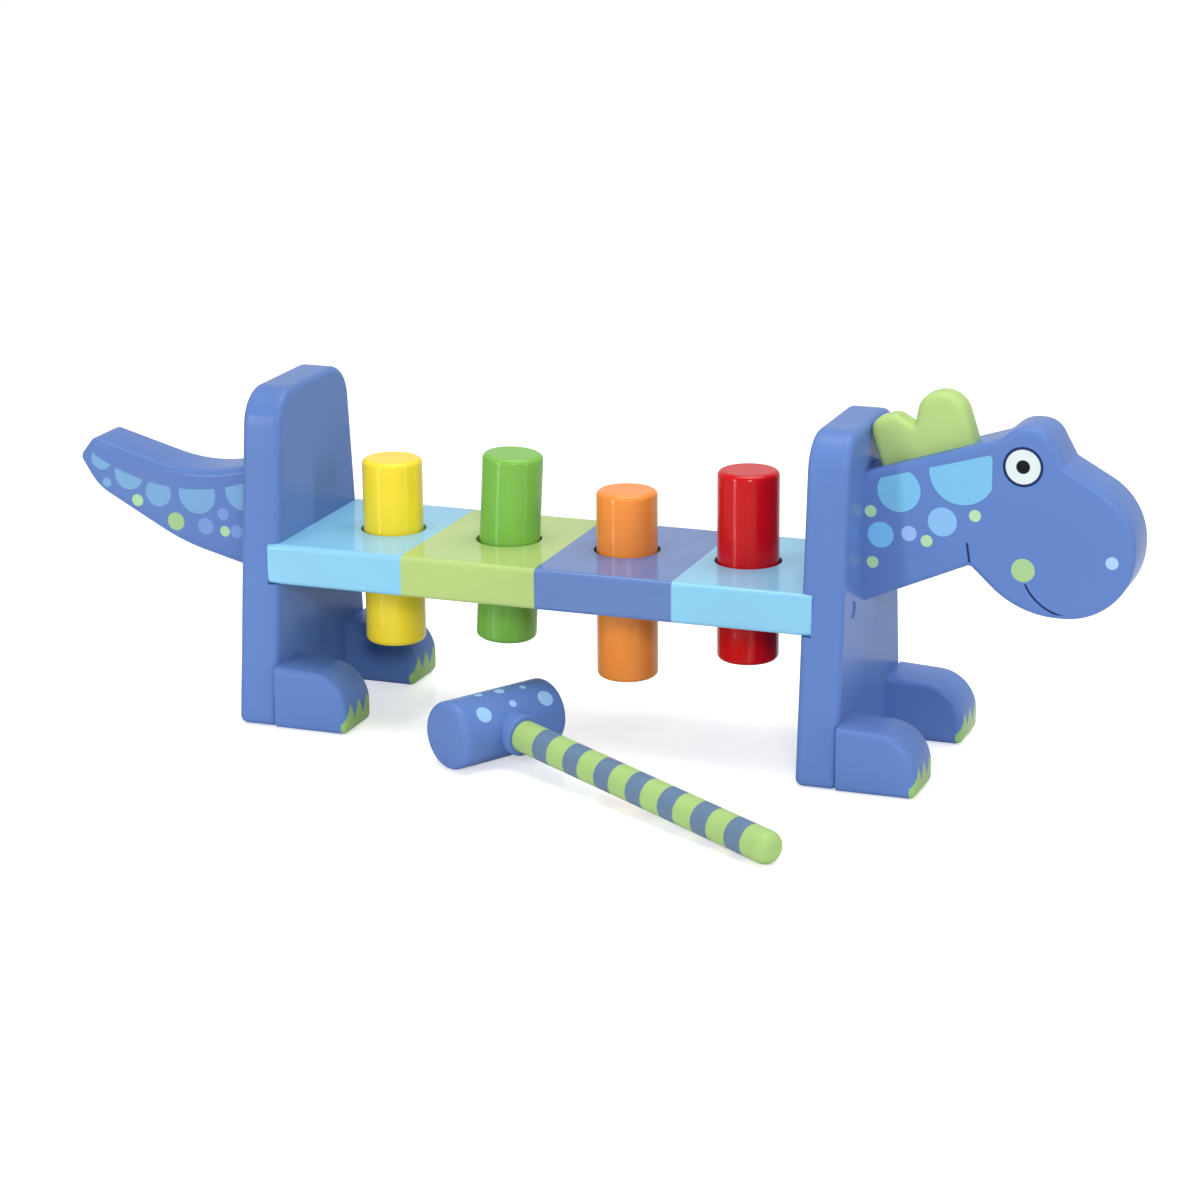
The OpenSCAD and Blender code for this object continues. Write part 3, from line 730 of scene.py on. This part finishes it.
pins, given = repeated("fluted_dowels", ("Diameter", "Length", "Chamfer", "Flute Depth"), ("Flutes",))
half_d = add(pins, "ShaderNodeMath", {0: given["Diameter"], 1: 2}, operation="DIVIDE")
points = add(pins, "ShaderNodeMath", {0: given["Flutes"], 1: 2}, operation="MULTIPLY")
ring = add(pins, "GeometryNodeCurvePrimitiveCircle", {"Resolution": points, "Radius": half_d})
# Every second point of the round is drawn in, which makes the flutes
index = add(pins, "GeometryNodeInputIndex")
odd = add(pins, "ShaderNodeMath", {0: index, 1: 2}, operation="MODULO")
sunk = add(pins, "ShaderNodeMath", {0: given["Flute Depth"], 1: half_d}, operation="DIVIDE")
inward = add(pins, "ShaderNodeMath", {0: odd, 1: sunk}, operation="MULTIPLY")
back = add(pins, "ShaderNodeMath", {0: inward, 1: -1}, operation="MULTIPLY")
here = add(pins, "GeometryNodeInputPosition")
pull = add(pins, "ShaderNodeVectorMath", {0: here, "Scale": back}, operation="SCALE")
fluted = add(pins, "GeometryNodeSetPosition", {"Geometry": ring, "Offset": pull})
half_l = add(pins, "ShaderNodeMath", {0: given["Length"], 1: 2}, operation="DIVIDE")
low_l = add(pins, "ShaderNodeMath", {0: half_l, 1: -1}, operation="MULTIPLY")
start = add(pins, "ShaderNodeCombineXYZ", {"Z": low_l})
end = add(pins, "ShaderNodeCombineXYZ", {"Z": half_l})
axis = add(pins, "GeometryNodeCurvePrimitiveLine", {"Start": start, "End": end})
# The pin is divided in lengths of about one chamfer, and both ends are made slimmer by the chamfer
steps = add(pins, "ShaderNodeMath", {0: given["Length"], 1: given["Chamfer"]}, operation="DIVIDE")
even = add(pins, "GeometryNodeResampleCurve", {"Curve": axis, "Count": steps})
tips = add(pins, "GeometryNodeCurveEndpointSelection")
slim = add(pins, "ShaderNodeMath", {0: given["Chamfer"], 1: half_d}, operation="DIVIDE")
rest = add(pins, "ShaderNodeMath", {0: 1, 1: slim}, operation="SUBTRACT")
narrow = add(pins, "GeometryNodeSetCurveRadius", {"Curve": even, "Selection": tips, "Radius": rest})
pin = add(pins, "GeometryNodeCurveToMesh", {"Curve": narrow, "Profile Curve": fluted, "Fill Caps": True})
spread_out(pins, given, pin)

for node, d in (("neck_dowels", dowel_d), ("tail_dowels", dowel_d), ("crest_dowels", crest_dowel_d),
                ("rear_foot_dowels", foot_dowel_d), ("front_foot_dowels", foot_dowel_d)):
    low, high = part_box(node)
    mid = (low + high) / 2
    length, direction = high.x - low.x, Vector((1, 0, 0))
    if node == "crest_dowels":
        centres = [seat @ Vector((share * crest_l, 0, 0)) for share in crest_dowel_shares]
        length, direction = crest_dowel_l, seat.to_3x3() @ Vector((0, 0, 1))
    elif "foot" in node:
        feet_y = [(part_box(f)[0].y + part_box(f)[1].y) / 2 for f in foot_nodes[:2]]
        apart = abs(low.y + d / 2 - min(feet_y))
        centres = [Vector((mid.x, y + side * apart, mid.z)) for y in feet_y for side in (-1, 1)]
    else:
        centres = [Vector((mid.x, mid.y, z)) for z in (low.z + d / 2, high.z - d / 2)]
    group = set_out(f"fluted_{node}", centres, pins, {
        "Diameter": d, "Length": length, "Chamfer": dowel_chamfer, "Flute Depth": flute_depth,
        "Flutes": flutes, "Direction": direction, "Material": beech})
    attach(group, "bench")
    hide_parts(node)


# Screws: two countersunk steel wood screws at each end of the plank, cold formed with a rolled thread
# and zinc plated. They lie under the plugs.

screw_d, screw_head_d, screw_head_h, screw_tip = 3 * MM, 5.4 * MM, 1.6 * MM, 5 * MM
core_share = 0.68
thread_pitch, thread_l = 1.4 * MM, 22 * MM
screw_sides, thread_steps, ridge_sides = 32, 24, 4
plating_mm = 2.5
brightest, cloudiest = 0.24, 0.42
zinc_grey, zinc_pale = "#B4B8BE", "#CDD2D6"

# Zinc plated steel: bright metal with the cloudy, slightly blue film of a zinc bath
zinc, tree = empty_material("zinc_plated_steel")
place = add(tree, "ShaderNodeTexCoord").outputs["Object"]
film = add(tree, "ShaderNodeTexNoise", {"Vector": place, "Scale": 1 / (plating_mm * MM), "Detail": 3})
tinted = add(tree, "ShaderNodeMix", {0: film, 6: linear(zinc_grey), 7: linear(zinc_pale)}, data_type="RGBA")
cloudy = add(tree, "ShaderNodeMapRange", {"Value": film, "To Min": brightest, "To Max": cloudiest})
surface = add(tree, "ShaderNodeBsdfPrincipled", {"Base Color": tinted.outputs[2], "Metallic": 1,
                                                 "Roughness": cloudy})
add(tree, "ShaderNodeOutputMaterial", {"Surface": surface})

screws, given = repeated("wood_screws", ("Diameter", "Core", "Head Diameter", "Head Height", "Length", "Tip",
                                         "Pitch", "Thread Length"))
outer_r = add(screws, "ShaderNodeMath", {0: given["Diameter"], 1: 2}, operation="DIVIDE")
core_r = add(screws, "ShaderNodeMath", {0: outer_r, 1: given["Core"]}, operation="MULTIPLY")
head_r = add(screws, "ShaderNodeMath", {0: given["Head Diameter"], 1: 2}, operation="DIVIDE")
cap = add(screws, "GeometryNodeMeshCone", {"Vertices": screw_sides, "Radius Top": outer_r,
                                           "Radius Bottom": head_r, "Depth": given["Head Height"]})
body_l = add(screws, "ShaderNodeMath", {0: given["Length"], 1: given["Tip"]}, operation="SUBTRACT")
shank = add(screws, "GeometryNodeMeshCone", {"Vertices": screw_sides, "Radius Top": core_r,
                                             "Radius Bottom": core_r, "Depth": body_l})
point = add(screws, "GeometryNodeMeshCone", {"Vertices": screw_sides, "Radius Top": 0,
                                             "Radius Bottom": core_r, "Depth": given["Tip"]})
lift = add(screws, "ShaderNodeCombineXYZ", {"Z": body_l})
moved_point = add(screws, "GeometryNodeTransform", {"Geometry": point, "Translation": lift})
turns = add(screws, "ShaderNodeMath", {0: given["Thread Length"], 1: given["Pitch"]}, operation="DIVIDE")
helix = add(screws, "GeometryNodeCurveSpiral", {"Resolution": thread_steps, "Rotations": turns,
                                                "Start Radius": core_r, "End Radius": core_r,
                                                "Height": given["Thread Length"]})
thread_z = add(screws, "ShaderNodeMath", {0: body_l, 1: given["Thread Length"]}, operation="SUBTRACT")
thread_up = add(screws, "ShaderNodeCombineXYZ", {"Z": thread_z})
moved_helix = add(screws, "GeometryNodeTransform", {"Geometry": helix, "Translation": thread_up})
ridge_r = add(screws, "ShaderNodeMath", {0: outer_r, 1: core_r}, operation="SUBTRACT")
ridge = add(screws, "GeometryNodeCurvePrimitiveCircle", {"Resolution": ridge_sides, "Radius": ridge_r})
thread = add(screws, "GeometryNodeCurveToMesh", {"Curve": moved_helix,
                                                 "Profile Curve": ridge, "Fill Caps": True})
whole = add(screws, "GeometryNodeJoinGeometry")
for part in (cap, shank, moved_point, thread):
    screws.links.new(part.outputs[0], whole.inputs[0])
spread_out(screws, given, whole)

for node, inwards in (("plank_screws_rear", 1), ("plank_screws_front", -1)):
    low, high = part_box(node)
    head_x = low.x if inwards > 0 else high.x
    centres = [Vector((head_x, y, plug_z)) for y in plug_ys]
    group = set_out(f"zinc_{node}", centres, screws, {
        "Diameter": screw_d, "Core": core_share, "Head Diameter": screw_head_d, "Head Height": screw_head_h,
        "Length": high.x - low.x, "Tip": screw_tip, "Pitch": thread_pitch, "Thread Length": thread_l,
        "Direction": Vector((inwards, 0, 0)), "Material": zinc})
    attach(group, "bench")
    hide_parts(node)


# Mallet: a turned wooden head with eased ends, bored and spot-faced for a turned handle that is glued in.
# The head is blue with printed spots, the handle lime green with a blue collar and blue bands.

mallet_d, mallet_l, mallet_ease = 24.5 * MM, 46 * MM, 3 * MM
handle_d, handle_reach, handle_ease = 11.5 * MM, 146 * MM, 4 * MM
handle_seat = 6 * MM
collar_d, collar_reach, collar_ease = 15 * MM, 16 * MM, 1 * MM
seat_wall, seat_edge = 0.4 * MM, 0.4 * MM
mallet_turn = math.radians(30)
# The handle slopes down from the head until its far end rests on the floor
rest_l = math.hypot(handle_reach - handle_ease, handle_d / 2)
handle_slope = math.asin(mallet_d / 2 / rest_l) - math.atan2(handle_d / 2, handle_reach - handle_ease)
mallet_low, mallet_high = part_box("mallet_head")
mallet_centre = (mallet_low + mallet_high) / 2
lie = Euler((0, handle_slope, -mallet_turn), "XYZ")
mallet_frame = Matrix.Translation(mallet_centre) @ lie.to_matrix().to_4x4()
# Spots on the head: millimetres along it, degrees from its top towards the handle, radius in millimetres
mallet_spots = [(-12.4, 45, 3), (15.1, 44, 3), (1.1, 39, 1.4), (0.5, 2.5, 1.9), (10, 9, 1.2),
                (-7.9, -2, 1.4)]
band_start, band_pitch, band_w, band_count = 27.2 * MM, 16.7 * MM, 7.8 * MM, 7
mallet_pale, handle_lime, band_blue = "#97C5EC", "#A5C67A", "#667F9B"


def at_mallet(tree, place):
    """Object coordinates seen from the mallet: handle along X, head along Y, Z up."""
    return add(tree, "ShaderNodeMapping", {"Vector": place, "Location": mallet_centre, "Rotation": lie},
               vector_type="TEXTURE")


def mallet_print(tree, place, colour):
    """Round spots on the head's upper side."""
    local = at_mallet(tree, place)
    painted = colour
    for along, degrees, radius in mallet_spots:
        a = math.radians(degrees)
        centre = Vector((mallet_d / 2 * math.sin(a), along * MM, mallet_d / 2 * math.cos(a)))
        painted = spot_on(tree, local, painted, centre, radius * MM, mallet_pale)
    return painted


def handle_bands(tree, place, colour):
    """A blue collar, then blue bands round the handle at an even pitch."""
    along = add(tree, "ShaderNodeSeparateXYZ", {"Vector": at_mallet(tree, place)}).outputs["X"]
    root = add(tree, "ShaderNodeMath", {0: along, 1: collar_reach + print_edge}, operation="LESS_THAN")
    painted = add(tree, "ShaderNodeMix", {0: root, 6: colour, 7: linear(blue)}, data_type="RGBA").outputs[2]
    for count in range(band_count):
        centre = band_start + count * band_pitch + band_w / 2
        off = add(tree, "ShaderNodeMath", {0: along, 1: centre}, operation="SUBTRACT")
        away = add(tree, "ShaderNodeMath", {0: off}, operation="ABSOLUTE")
        painted = printed(tree, painted, band_blue, away, band_w / 2)
    return painted


head_lie = mallet_frame @ Matrix.Rotation(math.pi / 2, 4, "X") @ Matrix.Translation((0, 0, -mallet_l / 2))
mallet_paint = gloss_paint("gloss_blue_paint_with_spots_on_mallet", blue, mallet_print)
mallet = turned("spotted_mallet_head", rod_profile(mallet_d, mallet_l, mallet_ease, mallet_ease), head_lie,
                mallet_paint)
seat_x = math.sqrt((mallet_d / 2) ** 2 - (collar_d / 2) ** 2) - seat_wall
spot_face = disc(mallet_frame @ Vector((seat_x, 0, 0)), mallet_frame @ Vector((mallet_d, 0, 0)),
                 collar_d / 2)
cut(mallet, [spot_face], seat_edge)
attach(mallet, "mallet")
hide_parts("mallet_head")

handle_lie = mallet_frame @ Matrix.Translation((-handle_seat, 0, 0)) @ Matrix.Rotation(math.pi / 2, 4, "Y")
handle_paint = gloss_paint("gloss_lime_paint_with_bands", handle_lime, handle_bands)
profile = rod_profile(handle_d, handle_seat + handle_reach, handle_ease)
arc = [math.pi / 2 * k / peg_ease_steps for k in range(peg_ease_steps + 1)]
collar = [(handle_d / 2, handle_seat + seat_x), (collar_d / 2, handle_seat + seat_x)]
collar += [(collar_d / 2 - collar_ease + collar_ease * math.cos(a),
            handle_seat + collar_reach - collar_ease + collar_ease * math.sin(a)) for a in arc]
collar.append((handle_d / 2, handle_seat + collar_reach))
handle = turned("banded_mallet_handle", profile[:2] + collar + profile[2:], handle_lie, handle_paint)
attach(handle, "mallet")
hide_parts("mallet_handle")


# Studio: a white lacquered floor that keeps a soft shadow, two tall narrow lamps at the sides for the
# upright streaks on the pegs, a small lamp in front, a large one overhead and the photograph's camera.

floor_half = 1.25
floor_white = "#F4F4F4"
floor_roughness = 0.15
floor_glow = 0.5
sky_glow, mirrored_sky = 0.2, 0.6
white = linear("#FFFFFF")
# Each lamp's name, place, width and height in metres, and power in watts
lamps = [("left_light", (-1.05, -1.6, 0.48), 0.2, 0.9, 12),
         ("right_light", (1.75, -0.45, 0.48), 0.15, 0.9, 6),
         ("front_light", (0.75, -1.6, 0.9), 0.35, 0.35, 12),
         ("top_light", (0.1, 0.2, 1.8), 1.4, 1.4, 28)]
lamp_target = Vector((0, 0, 0.06))

shape = bmesh.new()
bmesh.ops.create_grid(shape, x_segments=1, y_segments=1, size=floor_half)
floor_mesh = bpy.data.meshes.new("floor")
shape.to_mesh(floor_mesh)
shape.free()
floor = bpy.data.objects.new("floor", floor_mesh)
bpy.context.scene.collection.objects.link(floor)
# White lacquer: the lamps' reflections and a little glow make it white to the camera around the soft shadow
lacquer, tree = empty_material("white_lacquered_floor")
ray = add(tree, "ShaderNodeLightPath")
gloss = add(tree, "ShaderNodeBsdfPrincipled", {"Base Color": linear(floor_white),
                                               "Roughness": floor_roughness})
glow = add(tree, "ShaderNodeEmission", {"Color": white, "Strength": floor_glow})
lit = add(tree, "ShaderNodeAddShader", {0: gloss, 1: glow})
seen = add(tree, "ShaderNodeMixShader", {0: ray.outputs["Is Camera Ray"], 1: gloss, 2: lit})
add(tree, "ShaderNodeOutputMaterial", {"Surface": seen})
floor_mesh.materials.append(lacquer)

# The room is white to the camera, less so in the gloss of the paint, and adds only a little light
world = bpy.data.worlds.new("white_studio")
bpy.context.scene.world = world
world.use_nodes = True
tree = world.node_tree
tree.nodes.clear()
ray = add(tree, "ShaderNodeLightPath")
clear = add(tree, "ShaderNodeMath", {0: ray.outputs["Is Camera Ray"], 1: ray.outputs["Is Transmission Ray"]},
            operation="MAXIMUM")
sheen = add(tree, "ShaderNodeMath", {0: ray.outputs["Is Glossy Ray"], 1: mirrored_sky}, operation="MULTIPLY")
direct = add(tree, "ShaderNodeMath", {0: clear, 1: sheen}, operation="MAXIMUM")
soft = add(tree, "ShaderNodeBackground", {"Color": white, "Strength": sky_glow})
bright = add(tree, "ShaderNodeBackground", {"Color": white, "Strength": 1})
both = add(tree, "ShaderNodeMixShader", {0: direct, 1: soft, 2: bright})
add(tree, "ShaderNodeOutputWorld", {"Surface": both})

for name, spot, wide, tall, power in lamps:
    lamp = bpy.data.lights.new(name, "AREA")
    lamp.shape = "RECTANGLE"
    lamp.size = wide
    lamp.size_y = tall
    lamp.energy = power
    holder = bpy.data.objects.new(name, lamp)
    holder.location = spot
    holder.rotation_euler = (lamp_target - Vector(spot)).to_track_quat("-Z", "Y").to_euler()
    bpy.context.scene.collection.objects.link(holder)

# The camera's place is counted in metres from the floor under the middle of the plank
camera_place = Vector((0.43147, -1.11775, 0.3973))
yaw, pitch, roll = math.radians(20.56), math.radians(-16.33), math.radians(-0.46)
focal_pixels, image_pixels, sensor_mm = 3454.2, 1200, 36
forward = Vector((-math.sin(yaw) * math.cos(pitch), math.cos(yaw) * math.cos(pitch), math.sin(pitch)))
level = Vector((math.cos(yaw), math.sin(yaw), 0))
upright = level.cross(forward)
right = level * math.cos(roll) + upright * math.sin(roll)
up = upright * math.cos(roll) - level * math.sin(roll)
lens = bpy.data.cameras.new("camera")
lens.sensor_width = sensor_mm
lens.lens = focal_pixels / image_pixels * sensor_mm
camera = bpy.data.objects.new("camera", lens)
turn = Matrix((right, up, -forward)).transposed().to_4x4()
camera.matrix_world = Matrix.Translation(camera_place + Vector((middle.x, middle.y, 0))) @ turn
bpy.context.scene.collection.objects.link(camera)
bpy.context.scene.camera = camera
bpy.context.scene.view_settings.view_transform = "Standard"
